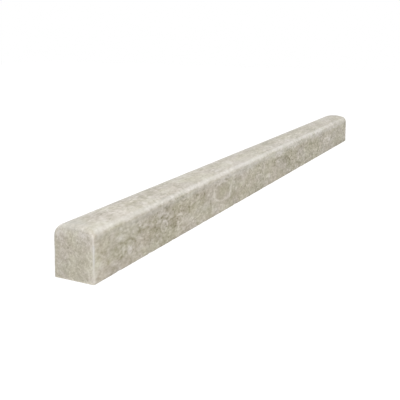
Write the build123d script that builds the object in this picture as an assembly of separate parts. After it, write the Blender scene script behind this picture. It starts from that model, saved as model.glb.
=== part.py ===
from build123d import *
import os

# Pencil liner: a slim bar of stone trim in one piece, lying on its bonding face.
# Millimetres. The length runs along X, the width across Y, and +Z points to the face that shows.
# The origin is the middle of the bonding face.

# Driving dimensions
length = 305.0
width = 15.9
thickness = 18.5
crown_radius = 20.0
long_edge_radius = 3.2
end_edge_radius = 1.6
arris_bevel = 0.5

node_name = "pencil_liner"


def top_corners(view):
    """The two corners of an upright view that stand away from the bonding face."""
    return view.vertices().group_by(Axis.Y)[-1]


with BuildPart() as pencil_liner:
    # The sawn blank from above: its upright arrises are taken off the sharp
    with BuildSketch():
        plan = Rectangle(length, width)
        chamfer(plan.vertices(), arris_bevel)
    extrude(amount=thickness)

    # The ground section: square arrises at the bonding face, a crowned top and rounded edges beside it
    with BuildSketch(Plane.YZ.offset(-length / 2)) as section:
        Rectangle(width, thickness, align=(Align.CENTER, Align.MIN))
        with Locations((0, thickness - crown_radius)):
            Circle(crown_radius, mode=Mode.INTERSECT)
        fillet(top_corners(section), long_edge_radius)
    extrude(amount=length, mode=Mode.INTERSECT)

    # The ends from the side: eased across the top, so that they mitre into the rounded long edges
    with BuildSketch(Plane.XZ.offset(-width / 2)):
        side = Rectangle(length, thickness, align=(Align.CENTER, Align.MIN))
        fillet(top_corners(side), end_edge_radius)
    extrude(amount=width, mode=Mode.INTERSECT)

os.makedirs("parts", exist_ok=True)
export_step(pencil_liner.part, f"parts/{node_name}.step")
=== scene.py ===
"""Looks of the pencil liner: a honed grey-beige limestone bar lying on a white table."""

import math

import bpy
import numpy as np
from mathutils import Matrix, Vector, noise


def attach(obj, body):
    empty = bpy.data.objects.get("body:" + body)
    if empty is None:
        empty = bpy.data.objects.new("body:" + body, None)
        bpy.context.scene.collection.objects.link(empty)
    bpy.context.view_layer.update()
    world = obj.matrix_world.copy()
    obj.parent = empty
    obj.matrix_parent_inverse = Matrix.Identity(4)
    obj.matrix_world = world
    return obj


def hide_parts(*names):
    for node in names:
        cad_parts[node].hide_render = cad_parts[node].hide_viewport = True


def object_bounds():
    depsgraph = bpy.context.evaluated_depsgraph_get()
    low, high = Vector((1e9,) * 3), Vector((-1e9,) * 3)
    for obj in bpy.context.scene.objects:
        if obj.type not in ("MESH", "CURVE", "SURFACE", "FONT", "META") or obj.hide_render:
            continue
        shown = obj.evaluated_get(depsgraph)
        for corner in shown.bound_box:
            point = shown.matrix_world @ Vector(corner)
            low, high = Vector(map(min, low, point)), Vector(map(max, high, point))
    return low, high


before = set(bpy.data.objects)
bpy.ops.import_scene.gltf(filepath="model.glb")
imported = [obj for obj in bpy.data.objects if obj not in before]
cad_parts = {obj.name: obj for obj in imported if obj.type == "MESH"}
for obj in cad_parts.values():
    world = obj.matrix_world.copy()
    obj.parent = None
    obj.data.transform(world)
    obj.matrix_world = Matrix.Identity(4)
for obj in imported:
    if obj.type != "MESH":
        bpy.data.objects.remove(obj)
cad_low, cad_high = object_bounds()

MM = 0.001

# Overall sizes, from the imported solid, in millimetres
LENGTH = (cad_high.x - cad_low.x) / MM
WIDTH = (cad_high.y - cad_low.y) / MM
THICKNESS = (cad_high.z - cad_low.z) / MM
HALF_LENGTH = LENGTH / 2
HALF_WIDTH = WIDTH / 2

# Section and ends, in millimetres
CROWN_RADIUS = 20.0
LONG_EDGE_RADIUS = 3.2
END_EDGE_RADIUS = 1.6
ARRIS_RADIUS = 0.3
BOTTOM_ARRIS_RADIUS = 0.2

# Mesh spacing, in millimetres, and counts of points and rings
FINE_STEP = 0.5
COARSE_STEP = 1.6
MIN_ARC_POINTS = 4
ROUNDING_POINTS = 8
CAP_RINGS = 16

# Rings behind an end whose depths agree to this many decimals are one ring
DEPTH_DECIMALS = 4

# Height that the rings on each end shrink towards, as a share of the thickness
CAP_CENTRE = 0.45

# Relief, in millimetres: every part of it cuts into the stone
WAVE_DEPTH = 0.04
WAVE_LENGTH = 14.0
GRAIN_DEPTH = 0.012
GRAIN_SIZE = 1.3
NIBBLE_DEPTH = 0.04
NIBBLE_SIZE = 2.6
CHIP_DEPTH = 0.12

# Distances from an arris over which nibbles and chips fade out, in millimetres
BOTTOM_NIBBLE_FADE = (0.3, 1.2)
UPRIGHT_NIBBLE_FADE = (0.5, 1.6)
CHIP_FADE = (0.2, 1.5)

# Levels of the noise between which a nibble grows to its full depth
NIBBLE_LEVELS = (0.05, 0.6)

# Share of a chip's half length that has its full depth
CHIP_FLOOR = 0.2

# Noise patterns of the mesh: a number of its own moves each one along this direction, so no two are alike
WAVE_SEED = 3.1
GRAIN_SEED = 7.7
NIBBLE_SEED = 12.9
WEAR_AND_HIGHLIGHT_SEED = 17.1
BRUISE_AND_LIGHT_SEED = 21.3
SEED_DIRECTION = (1.0, 2.3, -1.7)

# Chips on the front bottom arris: place along the bar and half length, in millimetres
FRONT_CHIPS = [
    (-139.0, 1.4),
    (-119.5, 1.3),
    (-102.5, 1.2),
    (-76.5, 2.2),
    (-44.4, 2.4),
    (-8.7, 2.2),
    (48.5, 3.4),
]

# Fossil rings on the front: x, z, half length, half height, tilt in degrees, line width, strength
FRONT_RINGS = [
    (-57.8, 9.3, 8.8, 4.1, -4.0, 0.75, 0.9),
    (-108.9, 7.3, 2.3, 1.9, 0.0, 0.5, 1.0),
    (-131.8, 6.3, 2.1, 2.1, 10.0, 0.45, 0.9),
    (-126.4, 5.1, 2.2, 1.2, 0.0, 0.4, 0.7),
    (-105.5, 4.2, 1.7, 1.3, 20.0, 0.4, 0.8),
    (-96.9, 7.3, 2.8, 1.4, -10.0, 0.4, 0.7),
    (-135.2, 11.3, 2.8, 1.2, 0.0, 0.4, 0.6),
    (-132.0, 14.0, 1.8, 1.8, 0.0, 0.4, 0.6),
    (103.1, 7.5, 7.0, 1.9, -5.0, 0.8, 0.9),
]

# Smooth inside of the largest ring: x, z, half length, half height, tilt in degrees, strength
SMOOTH_INSIDE = (-57.8, 9.3, 7.2, 3.3, -4.0, 0.6)

# Dark outlines of shells on the front, with the same seven values as a ring
FRONT_OUTLINES = [
    (-132.0, 6.2, 2.3, 2.9, 10.0, 0.5, 0.9),
    (-136.0, 7.0, 1.3, 2.5, 8.0, 0.4, 0.7),
    (-140.4, 6.6, 1.5, 2.2, 10.0, 0.4, 0.5),
    (-128.4, 11.2, 2.8, 1.6, -15.0, 0.45, 0.6),
    (-126.6, 4.2, 1.7, 2.3, 12.0, 0.45, 0.7),
    (-121.4, 7.6, 2.4, 1.8, -10.0, 0.45, 0.6),
    (-113.2, 9.0, 2.6, 1.5, 0.0, 0.45, 0.6),
    (-108.9, 7.3, 3.1, 2.7, 0.0, 0.5, 0.8),
    (-104.8, 4.0, 2.2, 2.0, 10.0, 0.45, 0.7),
    (-98.0, 5.8, 2.1, 2.3, 15.0, 0.45, 0.6),
    (-91.5, 9.0, 2.6, 2.0, 0.0, 0.45, 0.5),
]

# Pale ovals and flakes on the front, and two patches of painted highlight: x, z, half length, half height,
# tilt in degrees, strength
FRONT_FLAKES_AND_HIGHLIGHTS = [
    (-148.5, 6.0, 3.0, 3.0, 0.0, 0.25),
    (-132.1, 5.6, 1.4, 2.6, 10.0, 0.7),
    (-126.6, 4.4, 0.9, 1.6, 15.0, 0.6),
    (-136.2, 6.0, 0.6, 1.6, 10.0, 0.5),
    (-130.0, 10.3, 3.5, 1.6, -10.0, 0.45),
    (-126.5, 8.1, 4.2, 0.55, -22.0, 0.7),
    (-119.0, 10.7, 3.0, 0.5, -14.0, 0.7),
    (-108.4, 12.1, 2.6, 0.5, -18.0, 0.8),
    (-113.5, 10.0, 1.6, 0.6, 12.0, 0.6),
    (-105.0, 3.4, 1.4, 0.9, 20.0, 0.6),
    (-98.5, 5.6, 1.0, 1.4, 25.0, 0.6),
    (-68.3, 3.4, 0.5, 2.2, -12.0, 0.9),
    (-2.7, 5.2, 5.5, 1.0, -6.0, 0.8),
    # Two broad patches of painted highlight on the shoulder, below the rounded edge
    (10.0, 13.8, 14.0, 1.7, -3.0, 0.55),
    (42.0, 13.0, 9.0, 2.2, -3.0, 0.45),
    (45.5, 6.5, 1.6, 1.0, 0.0, 0.8),
    (57.0, 8.8, 3.2, 0.7, -12.0, 0.6),
]

# Dark specks and dashes on the front: x, z, half length, half height, tilt in degrees, strength
FRONT_SPECKS = [
    (-150.3, 11.0, 0.9, 0.6, 0.0, 0.6),
    (-144.8, 4.8, 1.0, 0.5, 0.0, 0.5),
    (-137.1, 4.5, 1.1, 0.6, 0.0, 1.0),
    (-137.2, 8.2, 0.35, 1.2, 0.0, 0.5),
    (-134.1, 7.2, 0.4, 1.8, 0.0, 0.7),
    (-123.8, 9.4, 1.7, 2.8, 0.0, 0.35),
    (-124.1, 2.0, 0.9, 0.9, 0.0, 0.9),
    (-120.0, 4.7, 1.6, 0.45, -15.0, 0.6),
    (-117.2, 8.0, 0.9, 0.9, 0.0, 0.6),
    (-128.7, 6.6, 0.8, 1.6, 15.0, 1.1),
    (-126.0, 5.2, 1.0, 0.6, -15.0, 0.8),
    (-135.0, 1.8, 1.6, 0.6, 0.0, 0.5),
    (-110.6, 11.2, 1.2, 0.8, -20.0, 0.9),
    (-115.2, 11.4, 1.4, 0.6, 25.0, 0.8),
    (-118.8, 11.5, 1.2, 0.5, 20.0, 0.7),
    (-114.4, 7.4, 1.8, 0.6, 15.0, 0.7),
    (-101.2, 6.9, 1.4, 0.7, 0.0, 0.5),
    (-103.8, 5.9, 0.8, 0.6, 0.0, 0.9),
    (-102.1, 3.3, 0.9, 0.5, 0.0, 0.8),
    (-106.0, 9.6, 1.0, 0.6, 30.0, 0.7),
    (-70.1, 11.1, 0.9, 0.5, 0.0, 0.9),
    (-78.0, 10.3, 1.7, 0.6, 0.0, 0.9),
    (-81.9, 13.1, 1.6, 0.5, -10.0, 0.8),
    (-69.8, 6.3, 0.6, 1.7, 0.0, 0.9),
    (-61.9, 15.0, 1.9, 0.35, 0.0, 0.7),
    (-58.0, 9.3, 6.0, 2.8, -4.0, 0.45),
    (-53.4, 13.7, 2.2, 0.4, -10.0, 0.8),
    (-45.2, 11.9, 2.2, 0.5, -8.0, 0.9),
    (-52.3, 15.1, 2.0, 0.25, -10.0, 0.5),
    (-49.2, 4.7, 1.0, 0.7, 35.0, 0.9),
    (11.2, 11.6, 5.5, 0.6, 4.0, 0.8),
    (25.2, 10.5, 3.0, 0.8, -10.0, 0.7),
    (26.2, 13.8, 2.4, 0.6, 0.0, 0.6),
    (47.6, 8.0, 2.2, 0.7, 0.0, 0.8),
    (41.5, 5.4, 1.6, 0.8, 20.0, 0.8),
    (46.5, 3.2, 5.5, 0.8, -12.0, 0.9),
    (62.0, 3.0, 3.5, 0.8, -8.0, 0.7),
    (72.0, 10.5, 6.0, 0.7, -5.0, 0.6),
    (85.0, 4.5, 4.0, 2.2, 0.0, 0.45),
    (114.3, 8.0, 2.6, 0.6, 0.0, 0.7),
    # A dark line along the far upright arris
    (151.9, 7.5, 0.8, 9.0, 0.0, 0.5),
]

# Dark streaks on the top: x, y, half length, half width, tilt in degrees, strength
TOP_STREAKS = [
    (-142.6, 2.0, 2.2, 1.5, 15.0, 0.5),
    (-140.3, -0.5, 2.2, 0.6, 30.0, 0.8),
    (-136.7, 3.1, 2.4, 0.7, 20.0, 0.8),
    (-133.0, 3.8, 1.8, 0.6, 30.0, 0.7),
    (-131.8, -1.6, 1.2, 0.8, 30.0, 0.6),
    (-131.0, 0.8, 3.0, 0.5, 25.0, 0.6),
    (-119.5, -1.6, 2.2, 1.0, 25.0, 0.5),
    (-113.0, -0.2, 1.8, 1.2, 20.0, 0.8),
    (-102.6, 3.7, 1.8, 0.7, 25.0, 0.6),
    (-59.7, 1.6, 3.4, 0.6, 12.0, 0.8),
    (-52.3, 0.4, 2.6, 0.5, 8.0, 0.7),
    (-24.0, -1.2, 4.5, 0.6, 15.0, 0.5),
    (19.0, 1.0, 9.0, 3.4, 4.0, 1.3),
    (38.0, 2.2, 6.0, 0.8, 10.0, 0.6),
]

# Broad pale areas on the top, one of them painted highlight: x, y, half length, half width, tilt in degrees,
# strength
TOP_FLAKES_AND_HIGHLIGHTS = [
    (-138.0, 0.0, 12.0, 8.0, 0.0, 0.4),
    (-131.0, -5.0, 2.5, 1.2, 20.0, 0.7),
    # A patch of painted highlight spreading from the front edge onto the top
    (-107.0, -4.6, 9.0, 2.2, 0.0, 0.5),
    (-35.0, -3.0, 12.0, 3.0, 0.0, 0.35),
]

# Pale curls on the top: x, y, half length, half width, tilt in degrees, line width, strength
TOP_RINGS = [
    (42.9, -3.7, 8.0, 2.2, 6.0, 0.7, 0.8),
    (-96.0, -1.5, 4.0, 1.8, 15.0, 0.5, 0.6),
]

# Zones along the bar: place in millimetres and strength of the mottling there
MOTTLE_ZONES = [
    (-152.5, 0.25),
    (-130.0, 0.8),
    (-98.0, 0.85),
    (-74.0, 0.45),
    (-40.0, 0.4),
    (30.0, 1.0),
    (80.0, 1.05),
    (110.0, 0.75),
    (152.5, 0.7),
]

# Broad beds across the front: place along the bar in millimetres and shift of the tone there
TONE_ZONES = [
    (-152.5, 0.07),
    (-88.0, 0.06),
    (-55.0, 0.12),
    (-25.0, 0.11),
    (14.0, -0.1),
    (60.0, -0.1),
    (95.0, -0.01),
    (115.0, -0.08),
    (152.5, -0.07),
]

# The same for the shoulder, the strip of the front just below the rounded edge, where the shifts also paint
# the highlight reaching lower in the far half
SHOULDER_TONE_AND_HIGHLIGHT_ZONES = [
    (-152.5, 0.07),
    (-124.0, -0.05),
    (-104.0, 0.06),
    (-90.0, -0.04),
    (-62.0, 0.16),
    (-40.0, 0.04),
    (60.0, 0.06),
    (112.0, 0.19),
    (135.0, 0.08),
]

# The same for the top
TOP_ZONES = [
    (-152.5, 0.0),
    (-138.0, 0.06),
    (-103.0, -0.13),
    (-70.0, 0.04),
    (-20.0, -0.02),
    (46.0, -0.01),
    (62.0, -0.1),
    (110.0, -0.08),
    (140.0, 0.04),
    (152.5, -0.1),
]

# Heights over which the front passes into its shoulder, in millimetres
SHOULDER_START = (12.0, 15.0)

# Where a blot fades out, with 1 on its outline, and share of a ring's line that has its full strength
BLOT_FADE = (0.55, 1.35)
RING_CORE = 0.1

# The foot of the bar is a little darker: strength and heights in millimetres
FOOT_DARKENING = 0.18
FOOT_FADE = (0.4, 1.8)

# Turn of a normal towards an axis over which a finish, or a mark, of that face comes in
FACING = (0.3, 0.8)
MARK_FACING = (0.5, 0.9)

# Rise of the normal at which the long rounded edge begins, and at which it passes into the crown
EDGE_TURN = (0.15, 0.45)
CROWN_TURN = (0.80, 0.97)

# Strength of a pattern on the ends and on the top, where the sides have all of it
FIGURE_CLARITY = (0.5, 0.88)
GRIT_CLARITY = (1.25, 0.95)

# Share of the stone's colour that dust and a painted sheen leave on the ends and on the top
CLEAR_OF_DUST_AND_SHEEN = (0.7, 0.73)

# Towards the near end the figure is weaker on the front and stronger on the top: change, and places in mm
NEAR_FRONT_LOSS = 0.26
NEAR_FRONT_FADE = (-122, -95)
NEAR_TOP_GAIN = 0.18
NEAR_TOP_FADE = (-100, -40)

# Wear and a painted highlight line along the upright arrises: strength, then distances in millimetres from
# the arris and above the table
UPRIGHT_WEAR_AND_HIGHLIGHT = 1.8
UPRIGHT_FADE = (0.12, 0.8)
UPRIGHT_START = (1.5, 6.0)

# That wear and highlight come in patches: size in millimetres, levels of their noise, and share of them left
# between the patches
WEAR_AND_HIGHLIGHT_PATCH = 2.6
WEAR_AND_HIGHLIGHT_PATCH_LEVELS = (-0.3, 0.25)
WEAR_AND_HIGHLIGHT_BETWEEN = 0.2

# Wear and a painted highlight on the eased top edge of each end: strength, loss towards the front, and
# distances in millimetres
END_TOP_WEAR_AND_HIGHLIGHT = 0.9
END_TOP_FRONT_LOSS = 0.6
END_TOP_FADE = (1.5, 8.0)
END_TOP_LIMIT = (1.2, 2.6)

# Wear and a painted highlight on the shoulder and on the crown beside the long edges: strengths, heights and
# distances in millimetres
SHOULDER_WEAR_AND_HIGHLIGHT = 0.8
SHOULDER_WEAR_AND_HIGHLIGHT_START = (12.4, 15.6)
CROWN_WEAR_AND_HIGHLIGHT = 0.35
CROWN_FADE = (2.5, 6.5)

# Corners carry less wear and painted highlight than the edges between them, and so does the far half: losses,
# and places in millimetres
CORNER_FADE = (0.8, 3.0)
SHOULDER_CORNER_LOSS = 0.5
LONG_EDGE_CORNER_LOSS = 0.8
LONG_EDGE_FAR_LOSS = 0.4
FAR_START = 40

# Painted light on an end beside its front arris, in pale patches: strength, reach, and start below the top in
# millimetres
ARRIS_PAINTED_LIGHT = 0.32
ARRIS_PAINTED_LIGHT_FADE = (0.6, 4.2)
ARRIS_PAINTED_LIGHT_START = (1.5, 4.0)

# Painted light, the same way, on an end under its eased top edge
END_TOP_PAINTED_LIGHT = 0.2
END_TOP_PAINTED_LIGHT_FADE = (2.0, 6.5)
END_TOP_PAINTED_LIGHT_START = (1.0, 2.6)

# Pale bruises of the stone, the same way, on the front beside the near end
FRONT_BRUISE = 0.22
FRONT_BRUISE_FADE = (0.3, 5.5)
FRONT_BRUISE_START = (2.5, 4.5)

# Bruises and painted light come in patches: their size in millimetres, levels of their noise, least strength
# and gain
BRUISE_AND_LIGHT_PATCH = 2.4
BRUISE_AND_LIGHT_PATCH_LEVELS = (-0.3, 0.3)
BRUISE_AND_LIGHT_LEAST = 0.55
BRUISE_AND_LIGHT_GAIN = 0.9

# The bedding runs along the bar: features are this many times longer there than across
BEDDING_STRETCH = 1.8

# Shifts of the place, in millimetres, that keep the noise textures apart
ELSEWHERE = (61.0, 37.0, 83.0)
FURTHER = (-47.0, 129.0, 11.0)
HUE_SHIFT = (33.0, -14.0, 21.0)
WARMTH_SHIFT = (17.0, 58.0, -29.0)

# Noise textures of the stone: size of the features in millimetres, and detail
SWAY = (2.2, 2.0)
CLOUDS = (20.0, 2.0)
PATCHES = (6.0, 2.0)
BLUR = (2.4, 3.0)
GRIT = (0.8, 3.0)
SPECKLE = (0.42, 1.0)
DRIFTS = (9.0, 2.0)
SPECKS = (1.15, 2.0)
SWIRL = (4.2, 0.6)
SHELL_PLACES = (7.0, 1.0)
HUES = (6.5, 2.5)
WARMTH = (9.0, 2.0)
WEAR_AND_HIGHLIGHT_PATCHES = (3.2, 2.0)
NOISE_ROUGHNESS = 0.55
NOISE_MIDDLE = 0.5

# How far the places of grains, specks and shells sway, in millimetres
SWAY_REACH = 1.7

# Grains: size in millimetres, then distances from a grain's middle or edge as shares of that size
GRAIN_CELL = 1.7
GRAIN_BODY = (0.25, 0.62)
RIM_INSIDE = (0.18, 0.34)
RIM_OUTSIDE = (0.36, 0.52)
GRAIN_GAP = (0.0, 0.16)

# Random draws of the grains: middle of those for the tone, and those above which the rim is pale
GRAIN_TONE_MIDDLE = 0.35
RIM_DRAWS = (0.72, 0.76)

# Levels of the noise at which drifts, olive specks and places with shells come in
DRIFT_LEVELS = (0.42, 0.6)
SPECK_LEVELS = (0.54, 0.7)
SHELL_LEVELS = (0.42, 0.56)

# Curled shells: how closely their lines follow one another, and where a wave of them is pale or dark
CURL_RATE = 34.0
PALE_LINES = (0.25, 0.95)
DARK_LINES = (-0.5, -0.98)

# Parts of the figure: middle and weight of each
FIGURE_WEIGHTS = {
    "clouds": (0.5, 0.22),
    "patches": (0.5, 0.66),
    "drifts": (0.45, -0.08),
    "blur": (0.5, 0.70),
    "grain_tone": (0.06, 0.42),
    "rims": (0.03, 0.16),
    "gaps": (0.3, -0.16),
    "olive": (0.1, -0.50),
    "shells": (0.05, 0.11),
    "pale": (0.0, 0.33),
    "dark": (0.0, -0.30),
    "bed_and_highlight": (0.0, 1.0),
}

# Parts of the figure whose weight also follows the mottling
MOTTLED_PARTS = ("grain_tone", "gaps")

# Weights of the fine parts, and the tone where every part is at its middle
GRIT_WEIGHT = 0.95
SPECKLE_WEIGHT = 0.95
BRUISE_AND_LIGHT_WEIGHT = 1.0
MIDDLE_TONE = 0.515

# Colours of the stone from its darkest tone to its palest
STONE_TONES = [
    (0.0, (0.235, 0.210, 0.140)),
    (0.3, (0.385, 0.352, 0.262)),
    (0.5, (0.475, 0.437, 0.348)),
    (0.7, (0.575, 0.540, 0.455)),
    (1.0, (0.720, 0.695, 0.620)),
]

# Pale patches lean towards a rosy grey and dark ones towards an olive grey
HUE_TINTS = [(0.0, (1.0, 0.973, 0.997)), (1.0, (0.99, 0.993, 0.94))]
HUE_LEVELS = (0.36, 0.64)
HUE_FROM_FIGURE = 0.22

# Broader patches are warmer or cooler
WARMTH_TINTS = [(0.0, (0.99, 0.99, 0.985)), (1.0, (1.0, 0.99, 0.945))]
WARMTH_LEVELS = (0.36, 0.64)

# Dust with a painted sheen, and worn stone with a painted highlight: colours, and how much of the stone full
# wear and highlight hide, from patch to patch
DUST_AND_SHEEN_COLOUR = (0.512, 0.490, 0.466, 1)
WEAR_AND_HIGHLIGHT_COLOUR = (0.64, 0.632, 0.607, 1)
WEAR_AND_HIGHLIGHT_LEVELS = (0.3, 0.62)
WEAR_AND_HIGHLIGHT_COVER = (0.33, 0.47)

# Honed surface: darker stone is a little rougher, and olive specks lie low in a bump this deep in millimetres
ROUGHNESS_TONES = (0.2, 0.8)
ROUGHNESS = (0.43, 0.35)
SPECULAR_LEVEL = 0.25
BUMP_STRENGTH = 0.12
BUMP_DEPTH = 0.05
OLIVE_HEIGHT = -0.6

# Ends of a step that falls
FALLING = (1.0, 0.0)

# Camera: measured from the near front corner of the bonding face, in millimetres, degrees and pixels
CAMERA_FROM_CORNER = (-159.824, -119.521, 79.599)
CAMERA_YAW = 27.213
CAMERA_PITCH = 6.065
FOCAL_PIXELS = 648.63
IMAGE_SIDE_PIXELS = 400
AXIS_ROW = 100
SENSOR_MM = 36.0
CLIP_START = 10.0

# Table: side and drop below the bar in metres, grey that takes the shadow, and glow that whitens it
TABLE_SIDE = 2.0
TABLE_DROP = 0.0001
TABLE_GREY = 0.3
TABLE_GLOW = 0.8

# Surroundings: brightness as light on the stone, and as seen
AMBIENT_LEVEL = 0.27
SEEN_LEVEL = 1.0

# Softboxes: direction, distance and side in metres, and level
SOFTBOXES = {
    "key_softbox": ((-0.70, -0.42, 0.59), 1.9, 0.9, 0.98),
    "edge_softbox": ((0.76, -0.41, 0.50), 3.0, 1.2, 0.26),
    "back_softbox": ((0.30, 0.90, 0.32), 3.0, 1.2, 0.24),
}


def arc_points(centre, radius, start, end, step):
    """Points along a circular arc from start to end degrees, both ends included."""
    sweep = math.radians(abs(end - start)) * radius
    count = max(MIN_ARC_POINTS, math.ceil(sweep / step) + 1)
    angles = np.radians(np.linspace(start, end, count))
    return [(centre[0] + radius * math.cos(a), centre[1] + radius * math.sin(a)) for a in angles]


def line_points(start, end, step):
    """Points along a straight line, both ends included."""
    count = max(2, math.ceil(math.dist(start, end) / step) + 1)
    return [tuple(p) for p in np.linspace(start, end, count)]


def section_outline():
    """The section in Y and Z, anticlockwise from the bonding face."""
    half = HALF_WIDTH
    low = BOTTOM_ARRIS_RADIUS
    crown_z = THICKNESS - CROWN_RADIUS
    # The edge rounding touches the side and the crown from inside
    edge_y = half - LONG_EDGE_RADIUS
    edge_z = crown_z + math.sqrt((CROWN_RADIUS - LONG_EDGE_RADIUS) ** 2 - edge_y**2)
    meet = math.degrees(math.atan2(edge_z - crown_z, edge_y))
    runs = [
        line_points((low - half, 0), (half - low, 0), COARSE_STEP),
        arc_points((half - low, low), low, -90, 0, FINE_STEP),
        line_points((half, low), (half, edge_z), FINE_STEP),
        arc_points((edge_y, edge_z), LONG_EDGE_RADIUS, 0, meet, FINE_STEP),
        arc_points((0, crown_z), CROWN_RADIUS, meet, 180 - meet, FINE_STEP),
        arc_points((-edge_y, edge_z), LONG_EDGE_RADIUS, 180 - meet, 180, FINE_STEP),
        line_points((-half, edge_z), (-half, low), FINE_STEP),
        arc_points((low - half, low), low, 180, 270, FINE_STEP),
    ]
    return np.array([p for run in runs for p in run[:-1]])


def rounded_drop(depth, radius):
    """How far a rounding of this radius stands back from the corner, at a depth behind the end."""
    inside = np.clip(radius - depth, 0, radius)
    return radius - np.sqrt(radius**2 - inside**2)


def end_depths():
    """Depths of the rings behind an end: close together round the eased edges."""
    turn = np.radians(np.linspace(0, 90, ROUNDING_POINTS))
    depths = np.concatenate([radius * (1 - np.cos(turn)) for radius in (ARRIS_RADIUS, END_EDGE_RADIUS)])
    return np.unique(np.round(depths, DEPTH_DECIMALS))


def bar_points():
    """The bar as rings of points along its length, with nested rings on each end."""
    outline = section_outline()
    depths = end_depths()
    inner = HALF_LENGTH - depths[-1]
    middle = np.linspace(-inner, inner, math.ceil(2 * inner / FINE_STEP) + 1)[1:-1]
    stations = np.concatenate([depths - HALF_LENGTH, middle, (HALF_LENGTH - depths)[::-1]])
    cap_centre_z = THICKNESS * CAP_CENTRE

    def ring(x, shrink=1.0):
        depth = HALF_LENGTH - abs(x)
        across = 1 - rounded_drop(depth, ARRIS_RADIUS) / HALF_WIDTH
        up = 1 - rounded_drop(depth, END_EDGE_RADIUS) / THICKNESS
        y = outline[:, 0] * across * shrink
        z = cap_centre_z + (outline[:, 1] * up - cap_centre_z) * shrink
        return np.column_stack([np.full(len(outline), x), y, z])

    shrinks = np.linspace(1, 0, CAP_RINGS + 1)[1:-1]
    rings = [ring(-HALF_LENGTH, s) for s in shrinks[::-1]]
    rings += [ring(x) for x in stations]
    rings += [ring(HALF_LENGTH, s) for s in shrinks]
    return np.array(rings)


def ring_faces(ring_count, ring_size):
    """Quads between neighbouring rings, and one small face in the middle of each end."""
    first = np.arange(ring_size)
    following = (first + 1) % ring_size
    quads = []
    for i in range(ring_count - 1):
        a, b = i * ring_size, (i + 1) * ring_size
        quads.append(np.column_stack([a + first, a + following, b + following, b + first]))
    last = (ring_count - 1) * ring_size
    caps = [first[::-1].tolist(), (last + first).tolist()]
    return np.concatenate(quads).tolist() + caps


def rise(value, span):
    """0 up to the low end of a span, 1 from its high end, and smooth between."""
    low, high = span
    t = np.clip((value - low) / (high - low), 0, 1)
    return t * t * (3 - 2 * t)


def fade(value, span):
    """1 up to the low end of a span, 0 from its high end, and smooth between."""
    return 1 - rise(value, span)


def noise_at(points, size, seed):
    """Smooth noise from about -1 to 1 at each point, for features of this size."""
    offset = Vector([seed * part for part in SEED_DIRECTION])
    return np.array([noise.noise(Vector(p) / size + offset) for p in points.tolist()])


def margins(points):
    """How far each point is from the nearer end, from the nearer side and below the top of the crown."""
    from_end = HALF_LENGTH - np.abs(points[:, 0])
    from_side = HALF_WIDTH - np.abs(points[:, 1])
    from_top = THICKNESS - points[:, 2]
    return from_end, from_side, from_top


def end_share(normals):
    """1 on both ends, falling to 0 on the faces beside them."""
    return rise(np.abs(normals[:, 0]), FACING)


def mark_shares(normals):
    """How strongly marks of the front, and those of the top, show at each point."""
    return rise(-normals[:, 1], MARK_FACING), rise(normals[:, 2], MARK_FACING)


def relief(points):
    """Depth that the honing, the grain and wear have taken off at each point."""
    x, y, z = points.T
    from_end, from_side, _ = margins(points)
    waves = WAVE_DEPTH * (1 + noise_at(points, WAVE_LENGTH, WAVE_SEED)) / 2
    grain = GRAIN_DEPTH * np.clip(noise_at(points, GRAIN_SIZE, GRAIN_SEED), 0, 1)
    # Nibbles follow the sharp arrises: those at the bottom and the upright ones at the ends
    bottom_side = fade(np.hypot(from_side, z), BOTTOM_NIBBLE_FADE)
    bottom_end = fade(np.hypot(z, from_end), BOTTOM_NIBBLE_FADE)
    upright = fade(np.hypot(from_side, from_end), UPRIGHT_NIBBLE_FADE)
    arris = np.maximum(np.maximum(bottom_side, upright), bottom_end)
    nibbles = NIBBLE_DEPTH * arris * rise(noise_at(points, NIBBLE_SIZE, NIBBLE_SEED), NIBBLE_LEVELS)
    chips = np.zeros_like(x)
    at_front_foot = fade(np.hypot(y + HALF_WIDTH, z), CHIP_FADE)
    for place, half_length in FRONT_CHIPS:
        along = fade(np.abs(x - place), (CHIP_FLOOR * half_length, half_length))
        chips = np.maximum(chips, CHIP_DEPTH * along * at_front_foot)
    return waves + grain + nibbles + chips


def local_ellipse(u, v, feature):
    """Distance from a feature's middle, where 1 is on its outline."""
    centre_u, centre_v, half_u, half_v, tilt = feature[:5]
    turn = math.radians(tilt)
    du, dv = u - centre_u, v - centre_v
    along = du * math.cos(turn) + dv * math.sin(turn)
    across = dv * math.cos(turn) - du * math.sin(turn)
    return np.hypot(along / half_u, across / half_v)


def blot_marks(u, v, features):
    """Soft-edged blots: the strongest of the features at each point."""
    total = np.zeros_like(u)
    for feature in features:
        strength = feature[-1]
        total = np.maximum(total, strength * fade(local_ellipse(u, v, feature), BLOT_FADE))
    return total


def ring_marks(u, v, features):
    """Thin closed outlines: the strongest of the features at each point."""
    total = np.zeros_like(u)
    for feature in features:
        width, strength = feature[-2:]
        line = width / min(feature[2:4])
        from_line = np.abs(local_ellipse(u, v, feature) - 1)
        total = np.maximum(total, strength * fade(from_line, (RING_CORE * line, line)))
    return total


def pale_marks(points, normals):
    """Rings and flakes of the front and the top, with a few patches of painted highlight among the flakes."""
    x, y, z = points.T
    front, top = mark_shares(normals)
    pale = front * np.maximum(ring_marks(x, z, FRONT_RINGS), blot_marks(x, z, FRONT_FLAKES_AND_HIGHLIGHTS))
    pale += top * np.maximum(ring_marks(x, y, TOP_RINGS), blot_marks(x, y, TOP_FLAKES_AND_HIGHLIGHTS))
    return pale


def dark_marks(points, normals):
    """Outlines, specks and streaks of the front and the top, and the darker foot."""
    x, y, z = points.T
    front, top = mark_shares(normals)
    dark = front * np.maximum(ring_marks(x, z, FRONT_OUTLINES), blot_marks(x, z, FRONT_SPECKS))
    dark += top * blot_marks(x, y, TOP_STREAKS)
    return np.maximum(dark, FOOT_DARKENING * fade(z, FOOT_FADE))


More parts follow.
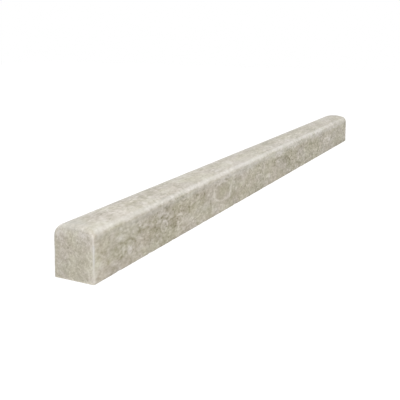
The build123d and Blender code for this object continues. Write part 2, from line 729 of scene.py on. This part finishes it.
def along_bar(x, zones):
    """Values of a list of zones at places along the bar."""
    places, values = np.array(zones).T
    return np.interp(x, places, values)


def bed_and_highlight_tones(points, normals):
    """Shift of the tone by the broad beds of the front and the top, and on the shoulder by beds and a painted
    highlight.
    """
    x, _, z = points.T
    front, top = mark_shares(normals)
    shoulder = rise(z, SHOULDER_START)
    tones = front * (1 - shoulder) * along_bar(x, TONE_ZONES)
    tones += front * shoulder * along_bar(x, SHOULDER_TONE_AND_HIGHLIGHT_ZONES)
    tones += top * along_bar(x, TOP_ZONES)
    return tones


def upright_wear_and_highlight(points):
    """Wear and a painted highlight line on the upright arrises, in patches, strongest at the near end."""
    from_end, from_side, _ = margins(points)
    near = rise(-points[:, 0], (0, HALF_LENGTH))
    patches = rise(noise_at(points, WEAR_AND_HIGHLIGHT_PATCH, WEAR_AND_HIGHLIGHT_SEED), WEAR_AND_HIGHLIGHT_PATCH_LEVELS)
    broken = WEAR_AND_HIGHLIGHT_BETWEEN + (1 - WEAR_AND_HIGHLIGHT_BETWEEN) * patches
    above_foot = rise(points[:, 2], UPRIGHT_START)
    return UPRIGHT_WEAR_AND_HIGHLIGHT * near * broken * above_foot * fade(np.hypot(from_end, from_side), UPRIGHT_FADE)


def end_top_wear_and_highlight(points, on_end):
    """Wear and a painted highlight on the eased top edge of each end, weaker towards the front."""
    from_end, _, from_top = margins(points)
    towards_front = rise(-points[:, 1], (0, HALF_WIDTH))
    strength = END_TOP_WEAR_AND_HIGHLIGHT - END_TOP_FRONT_LOSS * towards_front
    wear_and_highlight = strength * fade(np.hypot(from_end, from_top), END_TOP_FADE)
    return wear_and_highlight * (1 - on_end * rise(from_top, END_TOP_LIMIT))


def long_edge_wear_and_highlight(points, normals, on_end):
    """Wear and a painted highlight on the long rounded edges, on the shoulders below them and on the crown
    beside them.
    """
    from_end, from_side, _ = margins(points)
    upward = normals[:, 2]
    corner = fade(from_end, CORNER_FADE)
    towards_far = rise(points[:, 0], (FAR_START, HALF_LENGTH))
    shoulder = SHOULDER_WEAR_AND_HIGHLIGHT * rise(points[:, 2], SHOULDER_WEAR_AND_HIGHLIGHT_START) * fade(upward, EDGE_TURN)
    shoulder *= (1 - on_end) * (1 - SHOULDER_CORNER_LOSS * corner)
    edge = rise(upward, EDGE_TURN) * fade(upward, CROWN_TURN) * (1 - LONG_EDGE_FAR_LOSS * towards_far)
    edge *= 1 - LONG_EDGE_CORNER_LOSS * corner
    crown = CROWN_WEAR_AND_HIGHLIGHT * rise(upward, CROWN_TURN) * fade(from_side, CROWN_FADE) * (1 - towards_far)
    return np.maximum(np.maximum(shoulder, edge), crown)


def edge_wear_and_highlight(points, normals):
    """How much paler the edges are painted, for handling wear and for the highlight they catch: the strongest
    at each point, 0 on the faces.
    """
    on_end = end_share(normals)
    at_ends = np.maximum(upright_wear_and_highlight(points), end_top_wear_and_highlight(points, on_end))
    return np.maximum(at_ends, long_edge_wear_and_highlight(points, normals, on_end))


def end_bruises_and_light(points, normals):
    """How much paler each end is painted beside its front arris and under its top, as light on its eased
    edges, and how much paler the stone is on the front beside the near end, in patches.
    """
    on_end = end_share(normals)
    on_front = rise(-normals[:, 1], FACING)
    from_end, _, from_top = margins(points)
    from_front = points[:, 1] + HALF_WIDTH
    near_half = points[:, 0] < 0
    at_arris = ARRIS_PAINTED_LIGHT * fade(from_front, ARRIS_PAINTED_LIGHT_FADE) * rise(from_top, ARRIS_PAINTED_LIGHT_START)
    at_top = END_TOP_PAINTED_LIGHT * fade(from_top, END_TOP_PAINTED_LIGHT_FADE) * rise(from_top, END_TOP_PAINTED_LIGHT_START)
    at_front = FRONT_BRUISE * near_half * fade(from_end, FRONT_BRUISE_FADE)
    at_front *= rise(from_top, FRONT_BRUISE_START)
    patches = rise(noise_at(points, BRUISE_AND_LIGHT_PATCH, BRUISE_AND_LIGHT_SEED), BRUISE_AND_LIGHT_PATCH_LEVELS)
    strength = BRUISE_AND_LIGHT_LEAST + BRUISE_AND_LIGHT_GAIN * patches
    return (on_end * np.maximum(at_arris, at_top) + on_front * (1 - on_end) * at_front) * strength


def clarity(normals, on_end, on_top):
    """How strongly a pattern of the stone shows: fully on the sides, and by these shares elsewhere."""
    ends = end_share(normals)
    top = rise(normals[:, 2], FACING)
    return 1 + (on_end - 1) * ends + (on_top - 1) * top * (1 - ends)


def calmness(points, normals):
    """How much of the figure shows: it changes towards the near end and inside the largest ring."""
    x, _, z = points.T
    front, top = mark_shares(normals)
    calm = 1 - NEAR_FRONT_LOSS * front * fade(x, NEAR_FRONT_FADE)
    calm *= 1 - front * blot_marks(x, z, [SMOOTH_INSIDE])
    calm *= 1 + NEAR_TOP_GAIN * top * fade(x, NEAR_TOP_FADE)
    return calm


def stone_attributes(points, normals):
    """Values at each point that the material reads by name."""
    return {
        "pale": pale_marks(points, normals),
        "dark": dark_marks(points, normals),
        # Wear of the edges, with a painted highlight in it
        "wear_and_highlight": edge_wear_and_highlight(points, normals),
        "mottle": along_bar(points[:, 0], MOTTLE_ZONES),
        # Beds, and a painted highlight on the shoulder
        "bed_and_highlight": bed_and_highlight_tones(points, normals),
        # Painted light on the ends' eased edges, and bruises on the front
        "bruise_and_light": end_bruises_and_light(points, normals),
        "sawn": end_share(normals),
        "figure_clarity": clarity(normals, *FIGURE_CLARITY) * calmness(points, normals),
        # Dust, with a painted sheen on the top
        "dust_and_sheen": 1 - clarity(normals, *CLEAR_OF_DUST_AND_SHEEN),
        "grit_clarity": clarity(normals, *GRIT_CLARITY),
    }


def bar_mesh():
    """The bar as one closed mesh, with its relief cut in and the values that its material needs."""
    ring_points = bar_points()
    ring_count, ring_size = ring_points.shape[:2]
    points = ring_points.reshape(-1, 3)
    mesh = bpy.data.meshes.new("stone_bar")
    mesh.from_pydata(points.tolist(), [], ring_faces(ring_count, ring_size))
    mesh.update()
    normals = np.zeros(len(points) * 3)
    mesh.vertex_normals.foreach_get("vector", normals)
    normals = normals.reshape(-1, 3)
    moved = points - normals * relief(points)[:, None]
    moved[:, 2] = np.maximum(moved[:, 2], 0)
    mesh.vertices.foreach_set("co", (moved * MM).ravel())
    for name, values in stone_attributes(points, normals).items():
        attribute = mesh.attributes.new(name, "FLOAT", "POINT")
        attribute.data.foreach_set("value", values.astype(np.float32))
    mesh.update()
    return mesh


class Shade:
    """Short ways to add the nodes of a material."""

    def __init__(self, material):
        material.use_nodes = True
        self.tree = material.node_tree
        coords = self.tree.nodes.new("ShaderNodeTexCoord")
        self.place = coords.outputs["Object"]

    def join(self, value, socket):
        """Link a socket to another, or set it to a constant."""
        if isinstance(value, bpy.types.NodeSocket):
            self.tree.links.new(value, socket)
        else:
            socket.default_value = value

    def math(self, operation, first, second=0.0, clamp=False):
        node = self.tree.nodes.new("ShaderNodeMath")
        node.operation = operation
        node.use_clamp = clamp
        self.join(first, node.inputs[0])
        self.join(second, node.inputs[1])
        return node.outputs["Value"]

    def product(self, first, second):
        return self.math("MULTIPLY", first, second)

    def vector(self, operation, first, second):
        node = self.tree.nodes.new("ShaderNodeVectorMath")
        node.operation = operation
        self.join(first, node.inputs[0])
        self.join(second, node.inputs["Scale"] if operation == "SCALE" else node.inputs[1])
        return node.outputs["Vector"]

    def attribute(self, name):
        node = self.tree.nodes.new("ShaderNodeAttribute")
        node.attribute_name = name
        return node.outputs["Fac"]

    def noise(self, place, grade, output="Fac"):
        """Noise of a grade: the size of its features in millimetres, and its detail."""
        size, detail = grade
        node = self.tree.nodes.new("ShaderNodeTexNoise")
        node.inputs["Scale"].default_value = 1 / size
        node.inputs["Detail"].default_value = detail
        node.inputs["Roughness"].default_value = NOISE_ROUGHNESS
        self.join(place, node.inputs["Vector"])
        return node.outputs[output]

    def cells(self, place, size, feature="F1"):
        """Rounded grains of this size in millimetres."""
        node = self.tree.nodes.new("ShaderNodeTexVoronoi")
        node.feature = feature
        node.inputs["Scale"].default_value = 1 / size
        self.join(place, node.inputs["Vector"])
        return node

    def channels(self, colour):
        node = self.tree.nodes.new("ShaderNodeSeparateColor")
        self.join(colour, node.inputs["Color"])
        return node.outputs

    def step(self, value, span, ends=(0.0, 1.0)):
        """Smooth change from one end to the other while the value crosses a span."""
        node = self.tree.nodes.new("ShaderNodeMapRange")
        node.interpolation_type = "SMOOTHSTEP"
        self.join(value, node.inputs["Value"])
        self.join(span[0], node.inputs["From Min"])
        self.join(span[1], node.inputs["From Max"])
        self.join(ends[0], node.inputs["To Min"])
        self.join(ends[1], node.inputs["To Max"])
        return node.outputs["Result"]

    def ramp(self, value, stops):
        """Colour that passes through the stops, each a position from 0 to 1 and a colour."""
        node = self.tree.nodes.new("ShaderNodeValToRGB")
        elements = node.color_ramp.elements
        while len(elements) < len(stops):
            elements.new(position=0.5)
        for element, (position, colour) in zip(elements, stops):
            element.position = position
            element.color = (*colour, 1)
        self.join(value, node.inputs["Fac"])
        return node.outputs["Color"]

    def blend(self, factor, first, second, mode="MIX"):
        node = self.tree.nodes.new("ShaderNodeMix")
        node.data_type = "RGBA"
        node.blend_type = mode
        # Sockets 6 and 7 and output 2 are the colour ones
        self.join(factor, node.inputs[0])
        self.join(first, node.inputs[6])
        self.join(second, node.inputs[7])
        return node.outputs[2]

    def tinted(self, colour, tint):
        return self.blend(1.0, colour, tint, "MULTIPLY")

    def total(self, parts):
        """The sum of each signal, taken about its middle and weighted."""
        result = 0.0
        for signal, middle, weight in parts:
            centred = self.math("SUBTRACT", signal, middle)
            result = self.math("ADD", self.product(centred, weight), result)
        return result


class StonePlaces:
    """Places on the bar in millimetres, squeezed along the bedding, with moved and bent copies."""

    def __init__(self, shade):
        self.plain = shade.vector("MULTIPLY", shade.place, (1 / MM / BEDDING_STRETCH, 1 / MM, 1 / MM))
        self.elsewhere = shade.vector("ADD", self.plain, ELSEWHERE)
        self.further = shade.vector("ADD", self.plain, FURTHER)
        sway = shade.vector("SUBTRACT", shade.noise(self.plain, SWAY, "Color"), (NOISE_MIDDLE,) * 3)
        self.bent = shade.vector("ADD", self.plain, shade.vector("SCALE", sway, SWAY_REACH))


def stone_grains(shade, places):
    """Rounded grains, each with a tone of its own, the pale rims of some, and the gaps between them."""
    grains = shade.cells(places.bent, GRAIN_CELL).outputs
    draws = shade.channels(grains["Color"])
    body = shade.step(grains["Distance"], GRAIN_BODY, FALLING)
    tone = shade.product(body, shade.math("SUBTRACT", draws["Red"], GRAIN_TONE_MIDDLE))
    inside = shade.step(grains["Distance"], RIM_INSIDE)
    outside = shade.step(grains["Distance"], RIM_OUTSIDE, FALLING)
    has_rim = shade.step(draws["Green"], RIM_DRAWS)
    rims = shade.product(shade.product(inside, outside), has_rim)
    edges = shade.cells(places.bent, GRAIN_CELL, "DISTANCE_TO_EDGE").outputs
    gaps = shade.step(edges["Distance"], GRAIN_GAP, FALLING)
    return tone, rims, gaps


def olive_specks(shade, places, mottle):
    """Drifts, and the olive specks that lie in them."""
    drifts = shade.step(shade.noise(places.further, DRIFTS), DRIFT_LEVELS)
    specks = shade.step(shade.noise(places.bent, SPECKS), SPECK_LEVELS)
    return drifts, shade.product(shade.product(specks, drifts), mottle)


def curled_shells(shade, places):
    """Pale and dark lines along the contours of a slow noise, seen only in places."""
    swirl = shade.noise(places.bent, SWIRL)
    curls = shade.math("SINE", shade.product(swirl, CURL_RATE))
    lines = shade.math("SUBTRACT", shade.step(curls, PALE_LINES), shade.step(curls, DARK_LINES))
    return shade.product(lines, shade.step(shade.noise(places.elsewhere, SHELL_PLACES), SHELL_LEVELS))


def stone_figure(shade, places, mottle, drifts, olive):
    """All that makes the stone paler or darker, with some painted highlight among it, apart from its finest
    grain, as one signal about 0.
    """
    grain_tone, rims, gaps = stone_grains(shade, places)
    signals = {
        "clouds": shade.noise(places.plain, CLOUDS),
        "patches": shade.noise(places.elsewhere, PATCHES),
        "drifts": drifts,
        "blur": shade.noise(places.further, BLUR),
        "grain_tone": grain_tone,
        "rims": rims,
        "gaps": gaps,
        "olive": olive,
        "shells": curled_shells(shade, places),
        "pale": shade.attribute("pale"),
        "dark": shade.attribute("dark"),
        "bed_and_highlight": shade.attribute("bed_and_highlight"),
    }
    parts = []
    for name, (middle, weight) in FIGURE_WEIGHTS.items():
        if name in MOTTLED_PARTS:
            weight = shade.product(mottle, weight)
        parts.append((signals[name], middle, weight))
    return shade.product(shade.total(parts), shade.attribute("figure_clarity"))


def stone_tone(shade, places, figure, grit):
    """Tone from 0 to 1: the figure with fine grit, the finer speckle of sawn ends, and bruises with painted
    light on the ends.
    """
    speckle = shade.noise(places.further, SPECKLE)
    fine = shade.total([
        (grit, NOISE_MIDDLE, shade.product(shade.attribute("grit_clarity"), GRIT_WEIGHT)),
        (speckle, NOISE_MIDDLE, shade.product(shade.attribute("sawn"), SPECKLE_WEIGHT)),
        (shade.attribute("bruise_and_light"), 0.0, BRUISE_AND_LIGHT_WEIGHT),
    ])
    return shade.math("ADD", shade.math("ADD", figure, fine), MIDDLE_TONE, clamp=True)


def stone_colour(shade, places, figure, tone):
    """Colour of the stone by its tone, tinted in patches, then dusted with a painted sheen, and worn with a
    painted highlight.
    """
    hues = shade.noise(shade.vector("ADD", places.further, HUE_SHIFT), HUES)
    leaning = shade.math("SUBTRACT", hues, shade.product(figure, HUE_FROM_FIGURE))
    hue = shade.ramp(shade.step(leaning, HUE_LEVELS), HUE_TINTS)
    warmth = shade.noise(shade.vector("ADD", places.elsewhere, WARMTH_SHIFT), WARMTH)
    warm = shade.ramp(shade.step(warmth, WARMTH_LEVELS), WARMTH_TINTS)
    stone = shade.tinted(shade.tinted(shade.ramp(tone, STONE_TONES), hue), warm)
    # Dust, with a painted sheen, greys the ends and the top
    dusted_and_sheened = shade.blend(shade.attribute("dust_and_sheen"), stone, DUST_AND_SHEEN_COLOUR)
    # Worn edges, paler also by a painted highlight
    cover = shade.step(shade.noise(places.plain, WEAR_AND_HIGHLIGHT_PATCHES), WEAR_AND_HIGHLIGHT_LEVELS, WEAR_AND_HIGHLIGHT_COVER)
    return shade.blend(shade.product(shade.attribute("wear_and_highlight"), cover), dusted_and_sheened, WEAR_AND_HIGHLIGHT_COLOUR)


def honed_surface(shade, colour, tone, grit, olive):
    """Join the colour, the soft sheen and the fine bump to the material's shader."""
    shader = shade.tree.nodes["Principled BSDF"]
    shade.join(colour, shader.inputs["Base Color"])
    shade.join(shade.step(tone, ROUGHNESS_TONES, ROUGHNESS), shader.inputs["Roughness"])
    shader.inputs["Specular IOR Level"].default_value = SPECULAR_LEVEL
    bump = shade.tree.nodes.new("ShaderNodeBump")
    bump.inputs["Strength"].default_value = BUMP_STRENGTH
    bump.inputs["Distance"].default_value = BUMP_DEPTH * MM
    height = shade.math("ADD", grit, shade.product(olive, OLIVE_HEIGHT))
    shade.join(height, bump.inputs["Height"])
    shade.join(bump.outputs["Normal"], shader.inputs["Normal"])


def stone_material():
    material = bpy.data.materials.new("honed_limestone")
    shade = Shade(material)
    places = StonePlaces(shade)
    mottle = shade.attribute("mottle")
    grit = shade.noise(places.elsewhere, GRIT)
    drifts, olive = olive_specks(shade, places, mottle)
    figure = stone_figure(shade, places, mottle, drifts, olive)
    tone = stone_tone(shade, places, figure, grit)
    colour = stone_colour(shade, places, figure, tone)
    honed_surface(shade, colour, tone, grit, olive)
    return material


def add_bar():
    mesh = bar_mesh()
    piece = bpy.data.objects.new("stone_bar", mesh)
    bpy.context.scene.collection.objects.link(piece)
    for polygon in mesh.polygons:
        polygon.use_smooth = True
    mesh.materials.append(stone_material())
    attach(piece, "root")
    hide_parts("pencil_liner")


def add_camera():
    data = bpy.data.cameras.new("camera")
    camera = bpy.data.objects.new("camera", data)
    bpy.context.scene.collection.objects.link(camera)
    corner = Vector((-HALF_LENGTH, -HALF_WIDTH, 0))
    camera.location = (corner + Vector(CAMERA_FROM_CORNER)) * MM
    yaw, pitch = math.radians(CAMERA_YAW), math.radians(CAMERA_PITCH)
    level = math.cos(pitch)
    forward = Vector((math.cos(yaw) * level, math.sin(yaw) * level, -math.sin(pitch)))
    camera.rotation_mode = "QUATERNION"
    camera.rotation_quaternion = forward.to_track_quat("-Z", "Y")
    data.sensor_width = SENSOR_MM
    data.lens = FOCAL_PIXELS / IMAGE_SIDE_PIXELS * SENSOR_MM
    data.shift_y = (AXIS_ROW - IMAGE_SIDE_PIXELS / 2) / IMAGE_SIDE_PIXELS
    data.clip_start = CLIP_START * MM
    bpy.context.scene.camera = camera


def seen_directly(tree):
    """1 for camera, glossy and transmission rays, so that the white table shows in reflections too."""
    path = tree.nodes.new("ShaderNodeLightPath")
    total = path.outputs["Is Camera Ray"]
    for name in ("Is Glossy Ray", "Is Transmission Ray"):
        joined = tree.nodes.new("ShaderNodeMath")
        joined.operation = "MAXIMUM"
        tree.links.new(total, joined.inputs[0])
        tree.links.new(path.outputs[name], joined.inputs[1])
        total = joined.outputs["Value"]
    return total


def join_by_ray(tree, as_light, as_seen, out):
    """Use one shader for the light that it sends to the stone, and another where it is seen directly."""
    mix = tree.nodes.new("ShaderNodeMixShader")
    tree.links.new(seen_directly(tree), mix.inputs["Fac"])
    tree.links.new(as_light.outputs[0], mix.inputs[1])
    tree.links.new(as_seen.outputs[0], mix.inputs[2])
    tree.links.new(mix.outputs[0], out.inputs["Surface"])


def table_material():
    material = bpy.data.materials.new("white_table")
    material.use_nodes = True
    tree = material.node_tree
    tree.nodes.clear()
    out = tree.nodes.new("ShaderNodeOutputMaterial")
    matt = tree.nodes.new("ShaderNodeBsdfDiffuse")
    matt.inputs["Color"].default_value = (TABLE_GREY, TABLE_GREY, TABLE_GREY, 1)
    glow = tree.nodes.new("ShaderNodeEmission")
    glow.inputs["Strength"].default_value = TABLE_GLOW
    both = tree.nodes.new("ShaderNodeAddShader")
    tree.links.new(glow.outputs[0], both.inputs[0])
    tree.links.new(matt.outputs[0], both.inputs[1])
    join_by_ray(tree, matt, both, out)
    return material


def add_table():
    bpy.ops.mesh.primitive_plane_add(size=TABLE_SIDE, location=(0, 0, -TABLE_DROP))
    table = bpy.context.object
    table.name = "table"
    table.data.materials.append(table_material())


def white_background(tree, level):
    node = tree.nodes.new("ShaderNodeBackground")
    node.inputs["Color"].default_value = (1, 1, 1, 1)
    node.inputs["Strength"].default_value = level
    return node


def add_world():
    world = bpy.data.worlds.new("studio")
    bpy.context.scene.world = world
    world.use_nodes = True
    tree = world.node_tree
    tree.nodes.clear()
    out = tree.nodes.new("ShaderNodeOutputWorld")
    join_by_ray(tree, white_background(tree, AMBIENT_LEVEL), white_background(tree, SEEN_LEVEL), out)


def add_softbox(name, direction, distance, side, level):
    """A square lamp; the level is the brightness it gives a white surface that faces it."""
    data = bpy.data.lights.new(name, "AREA")
    data.shape = "SQUARE"
    data.size = side
    light = bpy.data.objects.new(name, data)
    bpy.context.scene.collection.objects.link(light)
    towards = Vector(direction).normalized()
    light.location = towards * distance
    light.rotation_mode = "QUATERNION"
    light.rotation_quaternion = towards.to_track_quat("Z", "Y")
    data.energy = level * math.pi**2 * distance**2


add_bar()
add_camera()
add_table()
add_world()
for softbox, settings in SOFTBOXES.items():
    add_softbox(softbox, *settings)

bpy.context.scene.view_settings.view_transform = "Standard"
